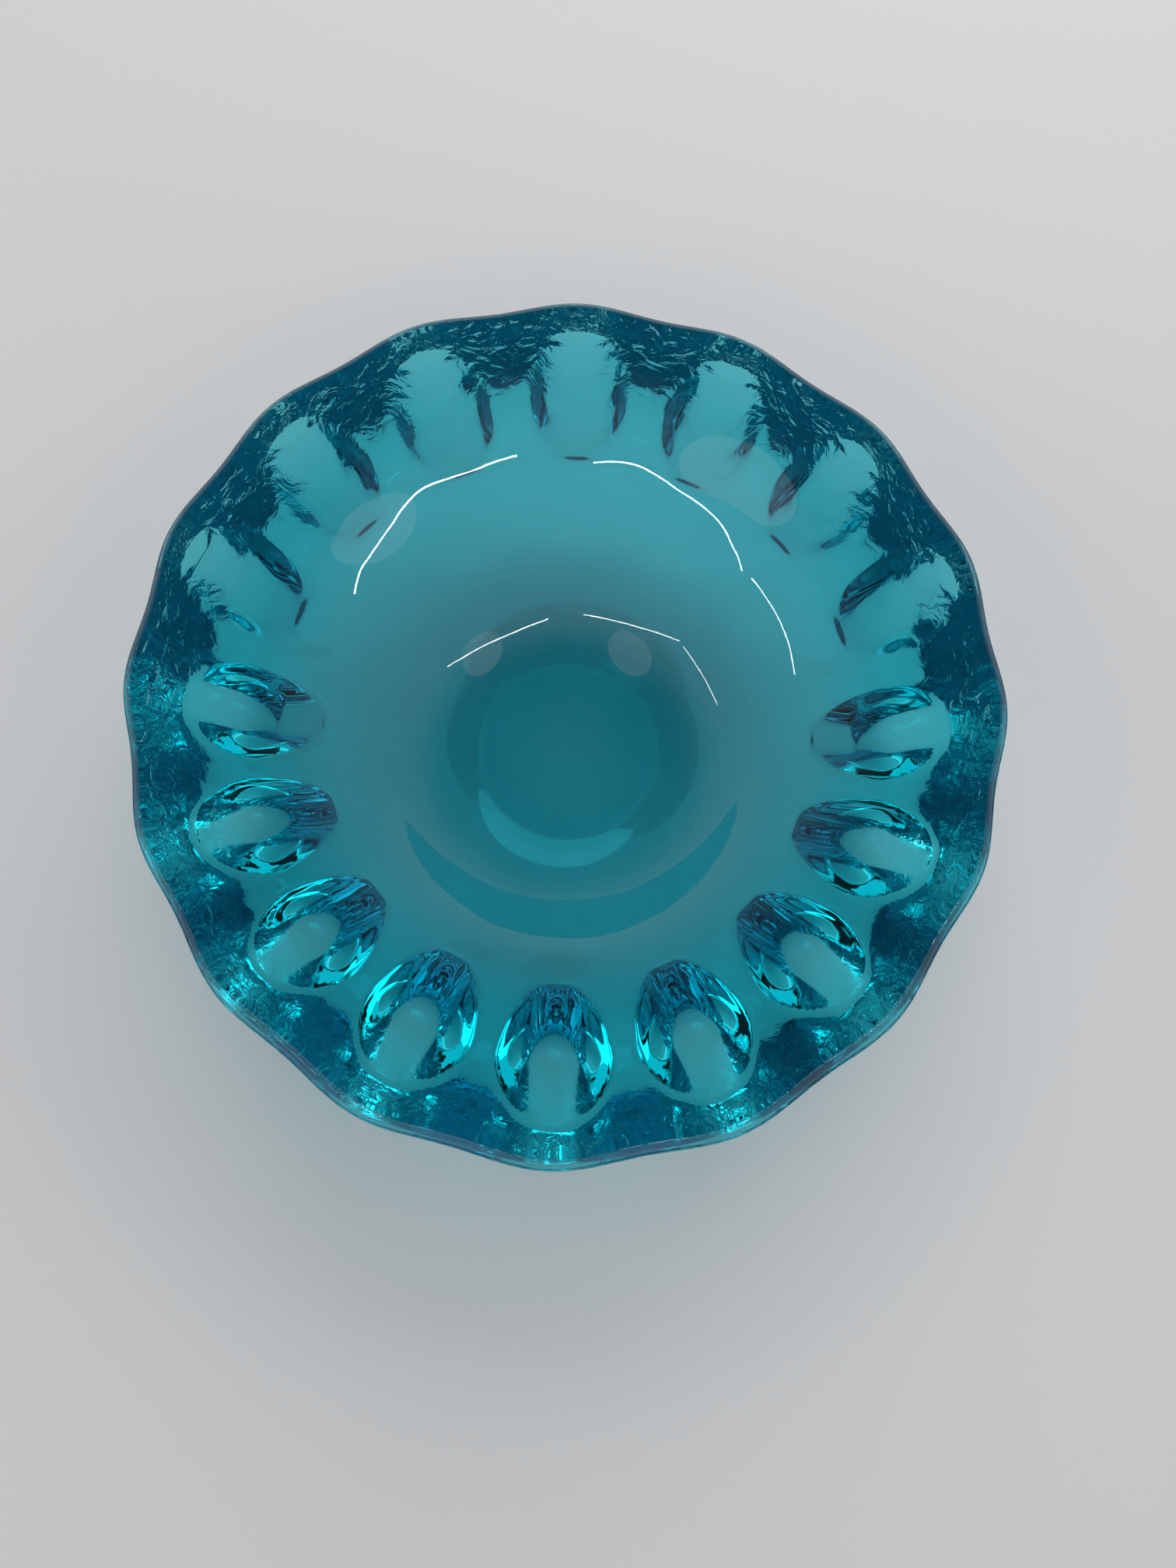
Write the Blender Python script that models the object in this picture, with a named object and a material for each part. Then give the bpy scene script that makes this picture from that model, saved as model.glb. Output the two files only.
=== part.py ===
"""Heavy blown-glass dish with a scalloped rim and sixteen thumbprints round the outside.

The dish is one piece of glass: a smooth well, a sloping shoulder, a thick rolled rim, and an outer
wall scooped out by a ring of oval hollows. It stands on a flat polished disc. Metres, +Z up, with
the centre of that disc at the origin.
"""

import math

import bmesh
import bpy
import numpy as np

# --- overall -------------------------------------------------------------------------------------
RIM_RADIUS = 0.0745  # mean radius of the widest line round the rim
RIM_LINE = 0.0405  # height of that line above the table
LOBES = 16  # scallops, one above each thumbprint
SCALLOP = 0.009  # how far each scallop swells the rim, as a share of the radius
BASE_RADIUS = 0.0195  # flat polished disc that it stands on

# --- hand-made unevenness ------------------------------------------------------------------------
OVAL = 0.0058  # share of the radius by which the rim is oval
OVAL_AT = math.radians(-42.5)  # direction of its long axis
THREE_SIDED = 0.0063  # share of the radius by which it is slightly three-sided
THREE_SIDED_AT = math.radians(28.7)
LOBE_TURN = math.radians(-2.0)  # the first scallop stands this far off +X
LOBE_DRIFT_ONCE = math.radians(1.8)  # the scallops bunch up once round the rim
LOBE_DRIFT_TWICE = math.radians(-2.0)  # and twice round it
SCALLOPS_FROM = 0.045  # radius where the scallops begin, and where they are full
SCALLOPS_TO = 0.075
UNEVEN_FROM = 0.020  # the same for the unevenness
UNEVEN_TO = 0.070

# --- inside --------------------------------------------------------------------------------------
FLOOR = 0.0085  # thickness of glass under the middle of the well
WELL_BALL = 0.052  # radius of the ball that the bottom of the well fits
WELL_SLOPE = math.radians(41.0)  # steepest slope, where the ball gives way to the shoulder
SHOULDER_SLOPE = math.radians(29.0)  # slope where the shoulder gives way to the roll of the rim
SHOULDER_RADIUS = 0.060  # where that is
ROLL_IN = 0.0090  # how far the roll carries on along the shoulder before it turns over
ROLL_OUT = 0.0065  # how far it rises above the widest line before it turns in

# --- outer wall ----------------------------------------------------------------------------------
WALL_DROP = 0.0360  # how straight the ridges hang down from the widest line
WALL_TAPER = 0.0020  # how far they lean in over that drop
WALL_REACH = 0.0460  # how straight the underside runs out from the flat disc
FOOT_SLOPE = math.radians(22.0)  # slope of the underside where it leaves the disc
LOW_SIDE_AT = math.radians(-90.0)  # the thumbprints were pressed lower on this side of the dish
LOW_LIP_DROP = 0.0165  # upper end of a low thumbprint, down the wall from the widest line
LOW_BACK = (0.0585, 0.0285)  # radius and height that its steep back and its roof meet at
LOW_HEEL = 0.0505  # radius of its lower end, on the underside
HIGH_LIP_DROP = 0.0070  # the same for a thumbprint on the other side
HIGH_BACK = (0.0675, 0.0260)
HIGH_HEEL = 0.0590
HIGH_UP_TO = -0.5  # cosine of the angle from the low side where the high thumbprints give way
LOW_FROM = 0.3  # and where the low ones have taken over
PRINT_HALF_WIDTH = 0.0104  # half the distance across a thumbprint at its deepest
PRINT_SIDES = 2.3  # how upright the sides of a thumbprint are, 2 for a plain bowl
RIDGE_ROUNDING = 0.0015  # softness of the ridges left between the thumbprints

# --- mesh ----------------------------------------------------------------------------------------
COLUMNS_PER_LOBE = 11
WELL_RINGS = 6
SHOULDER_RINGS = 3
RIM_RINGS = 6
WALL_RINGS = 13
MIDDLE = 0.0020  # radius of the small flat cap in the middle of the well and of the base
CURVE_POINTS = 400  # points that a curve is measured with before it is cut into rings
LEAST_DEPTH = 1e-9  # metres, keeps the direction of a scoop of no depth defined

# --- glass ---------------------------------------------------------------------------------------
TEAL = (0.01, 0.27, 0.34, 1.0)
POLISH = 0.04  # roughness of the fire-polished surface
GLASS_INDEX = 1.51
CLEARNESS = 0.9


def soft_step(low, high, x):
    """0 below low, 1 above high, and a smooth ramp between them."""
    t = np.clip((x - low) / (high - low), 0, 1)
    return t * t * (3 - 2 * t)


def soft_max(a, b, width):
    """The larger of a and b, with the corner between them rounded over width."""
    share = np.clip(0.5 + 0.5 * (a - b) / width, 0, 1)
    return b * (1 - share) + a * share + width * share * (1 - share)


def bend(start, first, second, end, count):
    """Points along a curve from start to end that leaves towards first and arrives from second."""
    t = np.linspace(0, 1, count)[:, None]
    return (
        (1 - t) ** 3 * np.array(start)
        + 3 * (1 - t) ** 2 * t * np.array(first)
        + 3 * (1 - t) * t**2 * np.array(second)
        + t**3 * np.array(end)
    )


def spaced(points, count):
    """The curve through points, cut into count equal steps, with the distance along it."""
    steps = np.hypot(*np.diff(points, axis=0).T)
    along = np.concatenate([[0], np.cumsum(steps)])
    place = np.linspace(0, along[-1], count + 1)
    radius = np.interp(place, along, points[:, 0])
    height = np.interp(place, along, points[:, 1])
    return np.stack([radius, height], axis=1), place


def well_profile(rings):
    """The ball at the bottom of the well, from the middle out to its steepest slope."""
    turn = np.linspace(math.asin(MIDDLE / WELL_BALL), WELL_SLOPE, rings + 1)
    return np.stack([WELL_BALL * np.sin(turn), FLOOR + WELL_BALL * (1 - np.cos(turn))], axis=1)


def shoulder_profile(rings):
    """The shoulder, which eases from the well's steepest slope to the slope below the rim."""
    start = well_profile(1)[-1]
    span = SHOULDER_RADIUS - start[0]
    steep = np.array([1.0, math.tan(WELL_SLOPE)]) * span / 3
    easy = np.array([1.0, math.tan(SHOULDER_SLOPE)]) * span / 3
    end = start + (3 * steep + 3 * easy) / 2
    return spaced(bend(start, start + steep, end - easy, end, CURVE_POINTS), rings)[0][1:]


def rim_profile(rings):
    """The roll of the rim, from the shoulder over to the widest line."""
    start = shoulder_profile(1)[-1]
    along = np.array([math.cos(SHOULDER_SLOPE), math.sin(SHOULDER_SLOPE)])
    end = np.array([RIM_RADIUS, RIM_LINE])
    above_end = end + np.array([0, ROLL_OUT])
    roll = bend(start, start + along * ROLL_IN, above_end, end, CURVE_POINTS)
    return spaced(roll, rings)[0][1:]


def ridge_profile():
    """The outer wall along a ridge, from the widest line down to the flat disc."""
    top = (RIM_RADIUS, RIM_LINE)
    below_top = (RIM_RADIUS - WALL_TAPER, RIM_LINE - WALL_DROP)
    beyond_foot = (
        BASE_RADIUS + WALL_REACH * math.cos(FOOT_SLOPE),
        WALL_REACH * math.sin(FOOT_SLOPE),
    )
    curve = bend(top, below_top, beyond_foot, (BASE_RADIUS, 0.0), CURVE_POINTS)
    return spaced(curve, WALL_RINGS)


def print_profile(ridge, down, lip_drop, back, heel_radius):
    """The same wall along the middle of a thumbprint, ring for ring."""
    lip = int(np.argmin(np.abs(down - lip_drop)))
    heel = len(down) - 1 - int(np.argmin(np.abs(ridge[::-1, 0] - heel_radius)))
    scoop = bend(ridge[lip], back, back, ridge[heel], CURVE_POINTS)
    middle = ridge.copy()
    middle[lip : heel + 1] = spaced(scoop, heel - lip)[0]
    return middle


def print_cut(angle, ridge, middle):
    """How far the thumbprints move the wall's rings inwards and upwards at each column."""
    offset = middle - ridge
    depth = np.hypot(*offset.T)
    heading = offset / np.maximum(depth, LEAST_DEPTH)[:, None]
    nearest = np.round(angle * LOBES / (2 * math.pi))
    cut = np.zeros((len(angle), len(ridge)))
    for neighbour in (-1, 0, 1):
        apart = angle - (nearest + neighbour) * 2 * math.pi / LOBES
        sideways = np.abs(ridge[None, :, 0] * apart[:, None] / PRINT_HALF_WIDTH)
        side = depth.max() * sideways**PRINT_SIDES
        cut = soft_max(cut, depth[None, :] - side, RIDGE_ROUNDING)
    cut *= soft_step(0, RIDGE_ROUNDING, depth)[None, :]
    return cut[:, :, None] * heading[None, :, :]


def outer_wall(angle):
    """Radius and height of the outer wall's rings at each column."""
    ridge, down = ridge_profile()
    low = print_cut(angle, ridge, print_profile(ridge, down, LOW_LIP_DROP, LOW_BACK, LOW_HEEL))
    high = print_cut(angle, ridge, print_profile(ridge, down, HIGH_LIP_DROP, HIGH_BACK, HIGH_HEEL))
    share = soft_step(HIGH_UP_TO, LOW_FROM, np.cos(angle - LOW_SIDE_AT))[:, None, None]
    wall = ridge[None, :, :] + low * share + high * (1 - share)
    return wall[:, :, 0], wall[:, :, 1]


def dish_rings():
    """Every ring of the dish as radius and height at each column, in order along the surface."""
    count = LOBES * COLUMNS_PER_LOBE
    angle = np.arange(count) * 2 * math.pi / count
    plain = np.concatenate(
        [well_profile(WELL_RINGS), shoulder_profile(SHOULDER_RINGS), rim_profile(RIM_RINGS)]
    )
    radius = [np.full(count, r) for r in plain[:, 0]]
    height = [np.full(count, z) for z in plain[:, 1]]
    wall_radius, wall_height = outer_wall(angle)
    for ring in range(1, WALL_RINGS + 1):
        radius.append(wall_radius[:, ring])
        height.append(wall_height[:, ring])
    radius.append(np.full(count, MIDDLE))
    height.append(np.zeros(count))
    return angle, np.array(radius), np.array(height)


def shaped(angle, radius):
    """The rings' radii with the scallops and the hand-made unevenness, and the warped angle."""
    outer = soft_step(SCALLOPS_FROM, SCALLOPS_TO, radius)
    scallop = 1 + SCALLOP * np.cos(LOBES * angle)[None, :] * outer
    turned = (
        angle
        + LOBE_TURN
        + LOBE_DRIFT_ONCE * np.cos(angle)
        + LOBE_DRIFT_TWICE * np.sin(2 * angle)
    )
    uneven = (
        OVAL * np.cos(2 * (turned - OVAL_AT)) + THREE_SIDED * np.cos(3 * (turned - THREE_SIDED_AT))
    )
    share = soft_step(UNEVEN_FROM, UNEVEN_TO, radius)
    return radius * scallop * (1 + uneven[None, :] * share), turned


def make_dish():
    """Builds the dish as one closed mesh of rings."""
    angle, radius, height = dish_rings()
    radius, turned = shaped(angle, radius)
    rings, columns = radius.shape
    mesh = bmesh.new()
    grid = []
    for ring in range(rings):
        row = []
        for column in range(columns):
            r = radius[ring, column]
            x = r * math.cos(turned[column])
            y = r * math.sin(turned[column])
            row.append(mesh.verts.new((x, y, height[ring, column])))
        grid.append(row)
    for ring in range(rings - 1):
        for column in range(columns):
            after = (column + 1) % columns
            mesh.faces.new(
                (grid[ring][column], grid[ring + 1][column], grid[ring + 1][after], grid[ring][after])
            )
    for row, z in ((grid[0], height[0, 0]), (grid[-1], 0.0)):
        middle = mesh.verts.new((0.0, 0.0, z))
        for column in range(columns):
            mesh.faces.new((row[column], row[(column + 1) % columns], middle))
    bmesh.ops.recalc_face_normals(mesh, faces=mesh.faces)
    data = bpy.data.meshes.new("glass_dish")
    mesh.to_mesh(data)
    mesh.free()
    for face in data.polygons:
        face.use_smooth = True
    dish = bpy.data.objects.new("glass_dish", data)
    bpy.context.scene.collection.objects.link(dish)
    return dish


def teal_glass():
    """Clear blue-green glass."""
    material = bpy.data.materials.new("teal_glass")
    material.use_nodes = True
    shader = material.node_tree.nodes["Principled BSDF"]
    shader.inputs["Base Color"].default_value = TEAL
    shader.inputs["Roughness"].default_value = POLISH
    shader.inputs["Metallic"].default_value = 0.0
    shader.inputs["IOR"].default_value = GLASS_INDEX
    shader.inputs["Transmission Weight"].default_value = CLEARNESS
    material.diffuse_color = TEAL
    return material


def main():
    for old in list(bpy.data.objects):
        bpy.data.objects.remove(old)
    dish = make_dish()
    dish.data.materials.append(teal_glass())


main()
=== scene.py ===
"""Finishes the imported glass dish: its fine blown surface, its glass, and the stage round it.

Everything is in metres with +Z up, and the origin is the centre of the flat disc that the dish
stands on.
"""

import math

import bmesh
import bpy
import numpy as np
from bpy.props import FloatProperty, FloatVectorProperty, PointerProperty
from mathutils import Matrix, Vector


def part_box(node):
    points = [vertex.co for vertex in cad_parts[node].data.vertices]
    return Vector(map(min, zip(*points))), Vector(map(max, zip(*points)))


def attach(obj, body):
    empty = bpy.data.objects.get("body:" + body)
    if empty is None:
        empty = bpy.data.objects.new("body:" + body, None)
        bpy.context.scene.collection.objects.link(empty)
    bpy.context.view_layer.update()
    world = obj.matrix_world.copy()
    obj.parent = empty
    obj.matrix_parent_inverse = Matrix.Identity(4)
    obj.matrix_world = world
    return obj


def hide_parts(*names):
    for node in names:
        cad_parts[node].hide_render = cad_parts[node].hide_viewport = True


bl_info = {
    "name": "Thumbprint Glass Dish",
    "version": (1, 0, 0),
    "blender": (4, 5, 0),
    "location": "View3D > Sidebar > Dish",
    "description": "Blown glass dish with a scalloped rim and a ring of thumbprints",
    "category": "Add Mesh",
}

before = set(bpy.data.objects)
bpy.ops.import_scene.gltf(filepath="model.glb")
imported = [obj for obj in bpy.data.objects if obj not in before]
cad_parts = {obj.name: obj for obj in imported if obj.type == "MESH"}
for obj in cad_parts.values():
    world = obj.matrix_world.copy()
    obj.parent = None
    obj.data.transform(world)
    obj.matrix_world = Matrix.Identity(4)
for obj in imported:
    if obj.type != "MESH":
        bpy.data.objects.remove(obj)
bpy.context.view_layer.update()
DISH_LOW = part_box("glass_dish")[0]

# --- the dish, in the proportions of its solid ---------------------------------------------------
RIM_RADIUS = 0.0745  # mean radius of the widest line round the rim
RIM_LINE = 0.0405  # height of that line above the table
LOBES = 16  # scallops, one above each thumbprint
SCALLOP = 0.009  # how far each scallop swells the rim, as a share of the radius
BASE_RADIUS = 0.0195  # flat polished disc that it stands on
SCALLOPS_FROM, SCALLOPS_TO = 0.045, 0.075  # radii between which the scallops grow

OVAL = 0.0058  # share of the radius by which the rim is oval
OVAL_AT = math.radians(-42.5)  # direction of its long axis
THREE_SIDED = 0.0063  # share of the radius by which it is slightly three-sided
THREE_SIDED_AT = math.radians(28.7)
UNEVEN_FROM, UNEVEN_TO = 0.020, 0.070  # radii between which that unevenness grows
LOBE_TURN = math.radians(-2.0)  # the first scallop stands this far off +X
LOBE_DRIFT_ONCE = math.radians(1.8)  # the scallops bunch up once round the rim
LOBE_DRIFT_TWICE = math.radians(-2.0)  # and twice round it

FLOOR = 0.0085  # thickness of glass under the middle of the well
WELL_BALL = 0.052  # radius of the ball that the bottom of the well fits
WELL_SLOPE = math.radians(41.0)  # steepest slope, where the ball gives way to the shoulder
SHOULDER_SLOPE = math.radians(29.0)  # slope where the shoulder gives way to the roll of the rim
SHOULDER_RADIUS = 0.060  # where that is
ROLL_IN = 0.0090  # how far the roll carries on along the shoulder before it turns over
ROLL_OUT = 0.0065  # how far it rises above the widest line before it turns in

WALL_DROP = 0.0360  # how straight the ridges hang down from the widest line
WALL_TAPER = 0.0020  # how far they lean in over that drop
WALL_REACH = 0.0460  # how straight the underside runs out from the flat disc
FOOT_SLOPE = math.radians(22.0)  # slope of the underside where it leaves the disc
LOW_SIDE_AT = math.radians(-90.0)  # the thumbprints were pressed lower on this side
LOW_LIP_DROP = 0.0165  # upper end of a low thumbprint, down the wall from the widest line
LOW_BACK = (0.0585, 0.0285)  # radius and height that its steep back and its roof meet at
LOW_HEEL = 0.0505  # radius of its lower end, on the underside
HIGH_LIP_DROP = 0.0070  # the same for a thumbprint on the other side
HIGH_BACK = (0.0675, 0.0260)
HIGH_HEEL = 0.0590
HIGH_UP_TO = -0.5  # cosine of the angle from the low side where the high thumbprints give way
LOW_FROM = 0.3  # and where the low ones have taken over
PRINT_HALF_WIDTH = 0.0104  # half the distance across a thumbprint at its deepest
PRINT_SIDES = 2.3  # how upright the sides of a thumbprint are, 2 for a plain bowl
RIDGE_ROUNDING = 0.0015  # softness of the ridges left between the thumbprints
LEAST_DEPTH = 1e-9  # metres, keeps the direction of a scoop of no depth defined

RIPPLES = (  # waves round the dish, waves up it (radians a metre), start, size in metres
    (37, 420.0, 0.3, 0.00005),
    (53, -610.0, 1.9, 0.00004),
    (91, 830.0, 4.1, 0.00003),
    (23, 1150.0, 2.6, 0.00003),
)
RIPPLES_FROM, RIPPLES_TO = 0.056, 0.066  # radii between which the ripples grow
RIPPLES_FADE = (RIM_LINE - 0.004, RIM_LINE + 0.001)  # heights between which they die out
RINGS_UNDER_DISC = 4  # rings next to the flat disc, which have no ripples

# --- fineness of the surface ---------------------------------------------------------------------
COLUMNS_PER_LOBE = 32
WELL_RINGS = 44
SHOULDER_RINGS = 26
RIM_RINGS = 44
WALL_RINGS = 170
MIDDLE = 0.0008  # radius of the small flat cap in the middle of the well and of the base
CURVE_POINTS = 900  # points that a curve is measured with before it is cut into rings
WITHIN_SOLID = 0.9995  # the fine surface is drawn in this much, so that it stays in the solid's box

# --- the glass -----------------------------------------------------------------------------------
GLASS_INDEX = 1.51
CLEAR_SKIN = (0.58, 0.84, 0.91, 1.0)  # tint of the surface between its clouds
HAMMERED_RADII = (0.0655, 0.0715)  # radii between which the hammering grows, outside the rim
HAMMERED_HEIGHTS = (0.022, 0.034)  # heights between which it grows to its full depth
HAMMER_LOW, HAMMER_GAIN = 0.25, 1.6  # its depth low on the wall, and what the height adds
UPRIGHT_LEAN = (0.15, 0.45)  # squares of the normal's rise between which it stops
HAMMER_SCALE = 260.0  # waves in a metre, as are the other scales
SKIN_SCALE, SKIN_SHARE = 55.0, 0.05
SMEAR_SCALE, SMEAR_HAZE = 38.0, 0.020  # finger smears, and the roughness they add
DUST_SCALE, DUST_HAZE = 900.0, 0.05
CLOUD_SCALE = 24.0
POLISH = 0.004  # roughness of clean glass

# --- the view ------------------------------------------------------------------------------------
AIR_COLOUR = (0.97, 0.98, 1.0, 1.0)
CEILING_EDGE = (0.50, 0.78)  # sines of the heights between which the walls give way to the ceiling
CEILING_LEAN = 0.35  # how much lower the ceiling comes on the far side
HORIZON_EDGE = (0.10, 0.30)  # sines of the heights between which the bright skirting fades
HORIZON_GAIN = 0.8
NEAR_WALL, FAR_LOSS = 1.15, 0.30  # the walls' share of light near by, and what the far side loses
FAR_HALF = 0.7
FRAME_HEIGHT = 36.0  # millimetres of the camera's upright side
GLASS_PASSES = 24  # times that light may turn inside the thick rim before it is given up


def soft_step(low, high, x):
    """0 below low, 1 above high, and a smooth ramp between them."""
    t = np.clip((x - low) / (high - low), 0, 1)
    return t * t * (3 - 2 * t)


def soft_max(a, b, width):
    """The larger of a and b, with the corner between them rounded over width."""
    share = np.clip(0.5 + 0.5 * (a - b) / width, 0, 1)
    return b * (1 - share) + a * share + width * share * (1 - share)


def bend(start, first, second, end, count):
    """Points along a curve from start to end that leaves towards first and arrives from second."""
    t = np.linspace(0, 1, count)[:, None]
    return (
        (1 - t) ** 3 * np.array(start)
        + 3 * (1 - t) ** 2 * t * np.array(first)
        + 3 * (1 - t) * t**2 * np.array(second)
        + t**3 * np.array(end)
    )


def spaced(points, count):
    """The curve through points, cut into count equal steps, with the distance along it."""
    steps = np.hypot(*np.diff(points, axis=0).T)
    along = np.concatenate([[0], np.cumsum(steps)])
    place = np.linspace(0, along[-1], count + 1)
    radius = np.interp(place, along, points[:, 0])
    height = np.interp(place, along, points[:, 1])
    return np.stack([radius, height], axis=1), place


def well_profile(rings):
    """The ball at the bottom of the well, from the middle out to its steepest slope."""
    turn = np.linspace(math.asin(MIDDLE / WELL_BALL), WELL_SLOPE, rings + 1)
    return np.stack([WELL_BALL * np.sin(turn), FLOOR + WELL_BALL * (1 - np.cos(turn))], axis=1)


def shoulder_profile(rings):
    """The shoulder, which eases from the well's steepest slope to the slope below the rim."""
    start = well_profile(1)[-1]
    span = SHOULDER_RADIUS - start[0]
    steep = np.array([1.0, math.tan(WELL_SLOPE)]) * span / 3
    easy = np.array([1.0, math.tan(SHOULDER_SLOPE)]) * span / 3
    end = start + (3 * steep + 3 * easy) / 2
    return spaced(bend(start, start + steep, end - easy, end, CURVE_POINTS), rings)[0][1:]


def rim_profile(rings):
    """The roll of the rim, from the shoulder over to the widest line."""
    start = shoulder_profile(1)[-1]
    along = np.array([math.cos(SHOULDER_SLOPE), math.sin(SHOULDER_SLOPE)])
    end = np.array([RIM_RADIUS, RIM_LINE])
    above_end = end + np.array([0, ROLL_OUT])
    roll = bend(start, start + along * ROLL_IN, above_end, end, CURVE_POINTS)
    return spaced(roll, rings)[0][1:]


def ridge_profile():
    """The outer wall along a ridge, from the widest line down to the flat disc."""
    top = (RIM_RADIUS, RIM_LINE)
    below_top = (RIM_RADIUS - WALL_TAPER, RIM_LINE - WALL_DROP)
    beyond_foot = (
        BASE_RADIUS + WALL_REACH * math.cos(FOOT_SLOPE),
        WALL_REACH * math.sin(FOOT_SLOPE),
    )
    curve = bend(top, below_top, beyond_foot, (BASE_RADIUS, 0.0), CURVE_POINTS)
    return spaced(curve, WALL_RINGS)


def print_profile(ridge, down, lip_drop, back, heel_radius):
    """The same wall along the middle of a thumbprint, ring for ring."""
    lip = int(np.argmin(np.abs(down - lip_drop)))
    heel = len(down) - 1 - int(np.argmin(np.abs(ridge[::-1, 0] - heel_radius)))
    scoop = bend(ridge[lip], back, back, ridge[heel], CURVE_POINTS)
    middle = ridge.copy()
    middle[lip : heel + 1] = spaced(scoop, heel - lip)[0]
    return middle


def print_cut(angle, ridge, middle):
    """How far the thumbprints move the wall's rings inwards and upwards at each column."""
    offset = middle - ridge
    depth = np.hypot(*offset.T)
    heading = offset / np.maximum(depth, LEAST_DEPTH)[:, None]
    nearest = np.round(angle * LOBES / (2 * math.pi))
    cut = np.zeros((len(angle), len(ridge)))
    for neighbour in (-1, 0, 1):
        apart = angle - (nearest + neighbour) * 2 * math.pi / LOBES
        sideways = np.abs(ridge[None, :, 0] * apart[:, None] / PRINT_HALF_WIDTH)
        side = depth.max() * sideways**PRINT_SIDES
        cut = soft_max(cut, depth[None, :] - side, RIDGE_ROUNDING)
    cut *= soft_step(0, RIDGE_ROUNDING, depth)[None, :]
    return cut[:, :, None] * heading[None, :, :]


def outer_wall(angle):
    """Radius and height of the outer wall's rings at each column."""
    ridge, down = ridge_profile()
    low = print_cut(angle, ridge, print_profile(ridge, down, LOW_LIP_DROP, LOW_BACK, LOW_HEEL))
    high = print_cut(angle, ridge, print_profile(ridge, down, HIGH_LIP_DROP, HIGH_BACK, HIGH_HEEL))
    share = soft_step(HIGH_UP_TO, LOW_FROM, np.cos(angle - LOW_SIDE_AT))[:, None, None]
    wall = ridge[None, :, :] + low * share + high * (1 - share)
    return wall[:, :, 0], wall[:, :, 1]


def dish_rings():
    """Every ring of the dish as radius and height at each column, in order along the surface."""
    count = LOBES * COLUMNS_PER_LOBE
    angle = np.arange(count) * 2 * math.pi / count
    plain = np.concatenate(
        [well_profile(WELL_RINGS), shoulder_profile(SHOULDER_RINGS), rim_profile(RIM_RINGS)]
    )
    radius = [np.full(count, r) for r in plain[:, 0]]
    height = [np.full(count, z) for z in plain[:, 1]]
    wall_radius, wall_height = outer_wall(angle)
    for ring in range(1, WALL_RINGS + 1):
        radius.append(wall_radius[:, ring])
        height.append(wall_height[:, ring])
    radius.append(np.full(count, MIDDLE))
    height.append(np.zeros(count))
    return angle, np.array(radius), np.array(height)


def shaped(angle, radius):
    """The rings' radii with the scallops and the hand-made unevenness, and the warped angle."""
    outer = soft_step(SCALLOPS_FROM, SCALLOPS_TO, radius)
    scallop = 1 + SCALLOP * np.cos(LOBES * angle)[None, :] * outer
    turned = (
        angle
        + LOBE_TURN
        + LOBE_DRIFT_ONCE * np.cos(angle)
        + LOBE_DRIFT_TWICE * np.sin(2 * angle)
    )
    uneven = (
        OVAL * np.cos(2 * (turned - OVAL_AT)) + THREE_SIDED * np.cos(3 * (turned - THREE_SIDED_AT))
    )
    share = soft_step(UNEVEN_FROM, UNEVEN_TO, radius)
    return radius * scallop * (1 + uneven[None, :] * share), turned


def rippled(angle, radius, height):
    """How far hand working has drawn the wall's outside in, in metres: shallow flowing ripples."""
    outside = soft_step(RIPPLES_FROM, RIPPLES_TO, radius)
    low = 1 - soft_step(*RIPPLES_FADE, height)
    flow = np.zeros_like(radius)
    for times, rise, lean, size in RIPPLES:
        flow += size * (1 + np.sin(times * angle[None, :] + rise * height + lean))
    return flow * outside * low


def fine_dish():
    """The dish's fine surface as one closed mesh of rings."""
    angle, radius, height = dish_rings()
    rings_inside = WELL_RINGS + 1 + SHOULDER_RINGS + RIM_RINGS
    wall = slice(rings_inside, rings_inside + WALL_RINGS - RINGS_UNDER_DISC)
    drawn_in = rippled(angle, radius[wall], height[wall])
    radius[wall] -= drawn_in
    radius, turned = shaped(angle, radius)
    radius = radius * WITHIN_SOLID
    height = height * WITHIN_SOLID
    rings, columns = radius.shape
    mesh = bmesh.new()
    grid = []
    for ring in range(rings):
        xs = radius[ring] * np.cos(turned)
        ys = radius[ring] * np.sin(turned)
        grid.append([mesh.verts.new(spot) for spot in zip(xs, ys, height[ring])])
    for inner, outer in zip(grid, grid[1:]):
        for column in range(columns):
            after = (column + 1) % columns
            mesh.faces.new((inner[column], outer[column], outer[after], inner[after]))
    for row, z in ((grid[0], height[0, 0]), (grid[-1], 0.0)):
        middle = mesh.verts.new((0.0, 0.0, z))
        for column in range(columns):
            mesh.faces.new((row[column], row[(column + 1) % columns], middle))
    bmesh.ops.recalc_face_normals(mesh, faces=mesh.faces)
    data = bpy.data.meshes.new("blown_glass_dish")
    mesh.to_mesh(data)
    mesh.free()
    data.shade_smooth()
    return data


# --- shader maths --------------------------------------------------------------------------------


class Wire:
    """One output of a shader node, which can be used in Python sums."""

    def __init__(self, tree, socket):
        self.tree = tree
        self.socket = socket

    def sum_node(self, operation, first, second):
        settings = {"operation": operation}
        return add_node(self.tree, "ShaderNodeMath", settings, {0: first, 1: second})

    def __add__(self, other):
        return self.sum_node("ADD", self, other)

    __radd__ = __add__

    def __mul__(self, other):
        return self.sum_node("MULTIPLY", self, other)

    __rmul__ = __mul__

    def __sub__(self, other):
        return self.sum_node("SUBTRACT", self, other)

    def __rsub__(self, other):
        return self.sum_node("SUBTRACT", other, self)


def add_node(tree, kind, settings, values, output=0):
    """A node with its settings made first, then its inputs set or linked, as a Wire from it."""
    node = tree.nodes.new(kind)
    for name, value in settings.items():
        setattr(node, name, value)
    for name, value in values.items():
        if isinstance(value, Wire):
            tree.links.new(value.socket, node.inputs[name])
        else:
            node.inputs[name].default_value = value
    return Wire(tree, node.outputs[output])


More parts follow.
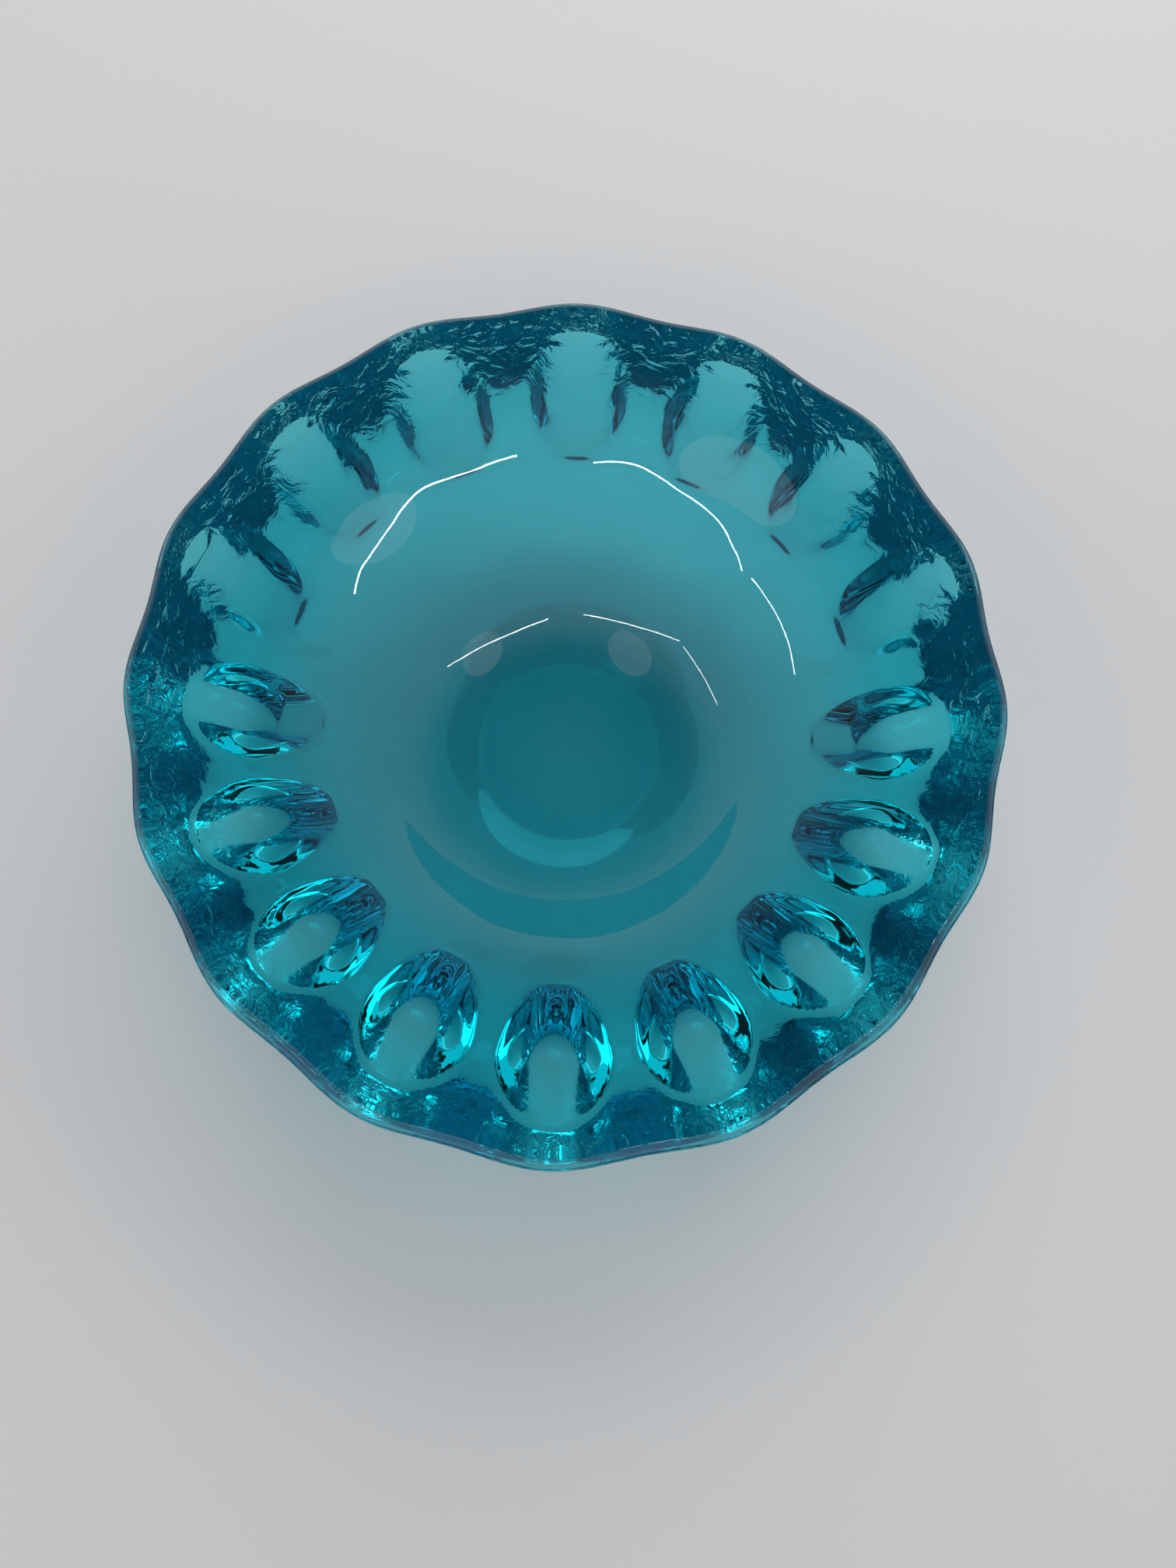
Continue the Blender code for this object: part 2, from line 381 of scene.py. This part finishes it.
def new_material(name):
    """An empty material with only its output node."""
    material = bpy.data.materials.new(name)
    material.use_nodes = True
    tree = material.node_tree
    tree.nodes.clear()
    return material, tree, tree.nodes.new("ShaderNodeOutputMaterial")


def noise(tree, place, scale, detail=2.0, distortion=0.0):
    """Cloudy noise from 0 to 1 at a place on the piece."""
    values = {"Vector": place, "Scale": scale, "Detail": detail, "Distortion": distortion}
    return add_node(tree, "ShaderNodeTexNoise", {}, values)


def ramp_between(tree, value, low, high):
    """0 where value is under low, 1 where it is over high, and smooth between."""
    settings = {"interpolation_type": "SMOOTHSTEP"}
    values = {"Value": value, "From Min": low, "From Max": high}
    return add_node(tree, "ShaderNodeMapRange", settings, values)


def mixed(tree, share, first, second):
    """One colour blended into another."""
    settings = {"data_type": "RGBA"}
    values = {0: share, 6: first, 7: second}
    return add_node(tree, "ShaderNodeMix", settings, values, output=2)


def teal_glass(colours):
    """Blue-green glass: clear and fire-polished, faintly smeared, and hammered outside the rim."""
    material, tree, out = new_material("teal_glass")
    place = add_node(tree, "ShaderNodeTexCoord", {}, {}, output=3)
    high_up = add_node(tree, "ShaderNodeSeparateXYZ", {}, {"Vector": place}, output=2)
    from_axis = add_node(
        tree, "ShaderNodeVectorMath", {"operation": "MULTIPLY"}, {0: place, 1: (1.0, 1.0, 0.0)}
    )
    radius = add_node(
        tree, "ShaderNodeVectorMath", {"operation": "LENGTH"}, {0: from_axis}, output=1
    )
    outside = ramp_between(tree, radius, *HAMMERED_RADII)
    upper = ramp_between(tree, high_up, *HAMMERED_HEIGHTS)
    facing = add_node(tree, "ShaderNodeTexCoord", {}, {}, output=1)
    lean = add_node(tree, "ShaderNodeSeparateXYZ", {}, {"Vector": facing}, output=2)
    upright = 1.0 - ramp_between(tree, lean * lean, *UPRIGHT_LEAN)
    pulls = noise(tree, place, HAMMER_SCALE, 3.0, 1.5)
    skin = noise(tree, place, SKIN_SCALE)
    hammered = pulls * outside * upright * (HAMMER_LOW + upper * HAMMER_GAIN)
    height = hammered + skin * SKIN_SHARE
    normal = add_node(
        tree,
        "ShaderNodeBump",
        {},
        {"Strength": 1.0, "Distance": colours.ripple, "Height": height},
    )
    smear = ramp_between(tree, noise(tree, place, SMEAR_SCALE, 5.0, 0.8), 0.56, 0.80)
    dust = ramp_between(tree, noise(tree, place, DUST_SCALE, 1.0), 0.74, 0.80)
    roughness = POLISH + smear * SMEAR_HAZE + dust * DUST_HAZE
    tint = mixed(
        tree,
        ramp_between(tree, noise(tree, place, CLOUD_SCALE, 3.0), 0.35, 0.70),
        (*colours.skin_tint, 1.0),
        CLEAR_SKIN,
    )
    shader = add_node(
        tree,
        "ShaderNodeBsdfPrincipled",
        {},
        {
            "Base Color": tint,
            "Roughness": roughness,
            "Transmission Weight": 1.0,
            "IOR": GLASS_INDEX,
            "Normal": normal,
        },
    )
    tree.links.new(shader.socket, out.inputs["Surface"])
    body = add_node(
        tree,
        "ShaderNodeVolumeAbsorption",
        {},
        {"Color": (*colours.body_tint, 1.0), "Density": colours.density},
    )
    tree.links.new(body.socket, out.inputs["Volume"])
    return material


def pale_table(stage):
    """Smooth white board with a faint unevenness."""
    material, tree, out = new_material("pale_table")
    place = add_node(tree, "ShaderNodeTexCoord", {}, {}, output=3)
    cloud = ramp_between(tree, noise(tree, place, 3.0, 3.0), 0.3, 0.7)
    deep = tuple(0.97 * part for part in stage.table_colour)
    colour = mixed(tree, cloud, (*deep, 1.0), (*stage.table_colour, 1.0))
    roughness = 0.42 + cloud * 0.08
    values = {"Base Color": colour, "Roughness": roughness}
    shader = add_node(tree, "ShaderNodeBsdfPrincipled", {}, values)
    tree.links.new(shader.socket, out.inputs["Surface"])
    return material


def studio_air(stage):
    """Light from pale walls, brightest low down and on the near side, under a dark ceiling."""
    world = bpy.data.worlds.new("studio")
    world.use_nodes = True
    tree = world.node_tree
    tree.nodes.clear()
    heading = add_node(tree, "ShaderNodeTexCoord", {}, {}, output=0)
    split = add_node(tree, "ShaderNodeSeparateXYZ", {}, {"Vector": heading}, output=2)
    forward = add_node(tree, "ShaderNodeSeparateXYZ", {}, {"Vector": heading}, output=1)
    overhead = ramp_between(tree, split + forward * CEILING_LEAN, *CEILING_EDGE)
    far = ramp_between(tree, forward, -FAR_HALF, FAR_HALF)
    level = overhead * (stage.zenith - stage.walls) + stage.walls
    horizon = 1.0 - ramp_between(tree, split, *HORIZON_EDGE)
    strength = level * (NEAR_WALL - far * FAR_LOSS) * (1.0 + horizon * HORIZON_GAIN)
    values = {"Color": AIR_COLOUR, "Strength": strength}
    background = add_node(tree, "ShaderNodeBackground", {}, values)
    out = tree.nodes.new("ShaderNodeOutputWorld")
    tree.links.new(background.socket, out.inputs["Surface"])
    return world


# --- settings ------------------------------------------------------------------------------------


class GlassColours(bpy.types.PropertyGroup):
    """Colour and surface of the glass."""

    body_tint: FloatVectorProperty(
        name="Body tint",
        description="Colour that deep glass turns light to",
        subtype="COLOR",
        default=(0.0, 0.883, 0.911),
        min=0.0,
        max=1.0,
    )
    density: FloatProperty(
        name="Depth of colour",
        description="How strongly the body tint builds up, per metre of glass",
        default=108.0,
        min=0.0,
    )
    skin_tint: FloatVectorProperty(
        name="Skin tint",
        description="Tint of the surface where the glass has clouds in it",
        subtype="COLOR",
        default=(0.48, 0.785, 0.86),
        min=0.0,
        max=1.0,
    )
    ripple: FloatProperty(
        name="Ripple",
        description="Height of the hammering that hand working left outside the rim",
        subtype="DISTANCE",
        default=0.00095,
        min=0.0,
    )


class StageSettings(bpy.types.PropertyGroup):
    """Table, lamps and camera."""

    table_colour: FloatVectorProperty(
        name="Table colour",
        description="Colour of the board that the dish stands on",
        subtype="COLOR",
        default=(0.645, 0.645, 0.655),
        min=0.0,
        max=1.0,
    )
    table_size: FloatProperty(
        name="Table size",
        description="Side of the board",
        subtype="DISTANCE",
        default=2.4,
        min=0.5,
    )
    tilt: FloatProperty(
        name="Camera tilt",
        description="Angle of the camera from straight down",
        subtype="ANGLE",
        default=math.radians(9.0),
    )
    viewpoint: FloatVectorProperty(
        name="Viewpoint",
        description="Where the camera is held",
        subtype="TRANSLATION",
        default=(0.00397, -0.0430, 0.2328),
    )
    zenith: FloatProperty(
        name="Light from above",
        description="Brightness of the air straight overhead",
        default=0.02,
        min=0.0,
    )
    walls: FloatProperty(
        name="Light from the walls",
        description="Brightness of the air level with the table",
        default=0.62,
        min=0.0,
    )
    lens: FloatProperty(
        name="Lens",
        description="Focal length for a 36 mm upright side, in millimetres",
        default=26.43,
        min=10.0,
    )


# --- operators -----------------------------------------------------------------------------------


class DISH_OT_blown_glass(bpy.types.Operator):
    """Make the dish's fine glass surface in place of its plain solid"""

    bl_idname = "dish.blown_glass"
    bl_label = "Blown Glass"

    def execute(self, context):
        dish = bpy.data.objects.new("blown_glass_dish", fine_dish())
        context.scene.collection.objects.link(dish)
        dish.data.materials.append(teal_glass(context.scene.dish_glass))
        if dish.dimensions.length == 0:
            raise RuntimeError("the dish has no size")
        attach(dish, "root")
        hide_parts("glass_dish")
        return {"FINISHED"}


def add_lamp(name, place, aim, size, power, turn=0.0, mirrored=True, shape="RECTANGLE"):
    """A flat lamp that shines from place towards aim, turned about that line."""
    light = bpy.data.lights.new(name, "AREA")
    light.shape = shape
    light.size, light.size_y = size
    light.energy = power
    lamp = bpy.data.objects.new(name, light)
    lamp.location = place
    facing = (Vector(aim) - Vector(place)).to_track_quat("-Z", "Y").to_euler()
    facing.rotate_axis("Z", turn)
    lamp.rotation_euler = facing
    lamp.visible_glossy = mirrored
    bpy.context.scene.collection.objects.link(lamp)
    return lamp


SOFT_LAMPS = (  # name, place, size, watts: wide diffusers that light the table
    ("overhead", (0.05, 0.40, 0.95), (0.9, 0.9), 2.9),
    ("far_window", (0.15, 0.80, 0.60), (1.1, 0.6), 6.2),
    ("right_panel", (0.95, 0.30, 0.60), (0.8, 0.5), 1.6),
    ("left_panel", (-0.95, 0.30, 0.60), (0.8, 0.5), 0.8),
)
STRIP_WIDTH = 0.004  # metres
STRIP_POWER = 0.30  # watts for each metre of strip
STRIPS = (  # name, ends: thin lines of lamps that the glass mirrors
    ("strip_left", (0.350, -0.120), (0.045, -0.247)),
    ("strip_right", (-0.050, -0.262), (-0.370, -0.215)),
    ("strip_end", (-0.380, -0.195), (-0.560, 0.010)),
)
STRIP_HEIGHT = 0.35
GLOWS = (("glow_left", (0.22, -0.153, 0.35)), ("glow_right", (-0.163, -0.149, 0.35)))
GLOW_SIZE = (0.13, 0.10)
GLOW_POWER = 0.022


class DISH_OT_stage(bpy.types.Operator):
    """Set the table, the lamps and the camera"""

    bl_idname = "dish.stage"
    bl_label = "Table and Lamps"

    def execute(self, context):
        stage = context.scene.dish_stage
        half = stage.table_size / 2
        corners = [(-half, -half), (half, -half), (half, half), (-half, half)]
        data = bpy.data.meshes.new("table")
        under = DISH_LOW.z - 0.0002
        data.from_pydata([(x, y, under) for x, y in corners], [], [(0, 1, 2, 3)])
        table = bpy.data.objects.new("table", data)
        context.scene.collection.objects.link(table)
        data.materials.append(pale_table(stage))
        for name, place, size, power in SOFT_LAMPS:
            add_lamp(name, place, (0.0, 0.0, 0.0), size, power, mirrored=False)
        for name, start, end in STRIPS:
            middle = [(a + b) / 2 for a, b in zip(start, end)]
            along = [b - a for a, b in zip(start, end)]
            length = math.hypot(*along)
            add_lamp(
                name,
                (*middle, STRIP_HEIGHT),
                (*middle, 0.0),
                (length, STRIP_WIDTH),
                STRIP_POWER * length,
                turn=math.atan2(along[1], along[0]),
            )
        for name, place in GLOWS:
            add_lamp(name, place, (0.0, 0.0, 0.0), GLOW_SIZE, GLOW_POWER, shape="ELLIPSE")
        context.scene.world = studio_air(stage)
        camera = bpy.data.cameras.new("camera")
        camera.sensor_fit = "VERTICAL"
        camera.sensor_height = FRAME_HEIGHT
        camera.lens = stage.lens
        camera.clip_start = 0.01
        viewer = bpy.data.objects.new("camera", camera)
        viewer.location = stage.viewpoint
        viewer.rotation_euler = (stage.tilt, 0.0, 0.0)
        context.scene.collection.objects.link(viewer)
        context.scene.camera = viewer
        context.scene.view_settings.view_transform = "Standard"
        light_paths = context.scene.cycles
        light_paths.max_bounces = GLASS_PASSES
        light_paths.transmission_bounces = GLASS_PASSES
        light_paths.glossy_bounces = GLASS_PASSES
        return {"FINISHED"}


class DISH_PT_panel(bpy.types.Panel):
    """Shows the glass and stage settings, each with the button that uses them"""

    bl_idname = "DISH_PT_panel"
    bl_label = "Glass Dish"
    bl_space_type = "VIEW_3D"
    bl_region_type = "UI"
    bl_category = "Dish"

    def draw(self, context):
        layout = self.layout
        glass = context.scene.dish_glass
        for name in ("body_tint", "density", "skin_tint", "ripple"):
            layout.prop(glass, name)
        layout.operator(DISH_OT_blown_glass.bl_idname)
        stage = context.scene.dish_stage
        for name in ("table_colour", "table_size", "tilt", "lens", "viewpoint", "zenith", "walls"):
            layout.prop(stage, name)
        layout.operator(DISH_OT_stage.bl_idname)


CLASSES = (GlassColours, StageSettings, DISH_OT_blown_glass, DISH_OT_stage, DISH_PT_panel)


def register():
    for kind in CLASSES:
        bpy.utils.register_class(kind)
    bpy.types.Scene.dish_glass = PointerProperty(type=GlassColours)
    bpy.types.Scene.dish_stage = PointerProperty(type=StageSettings)


def unregister():
    del bpy.types.Scene.dish_stage
    del bpy.types.Scene.dish_glass
    for kind in reversed(CLASSES):
        bpy.utils.unregister_class(kind)


def main():
    register()
    bpy.ops.dish.blown_glass()
    bpy.ops.dish.stage()


if __name__ == "__main__":
    main()
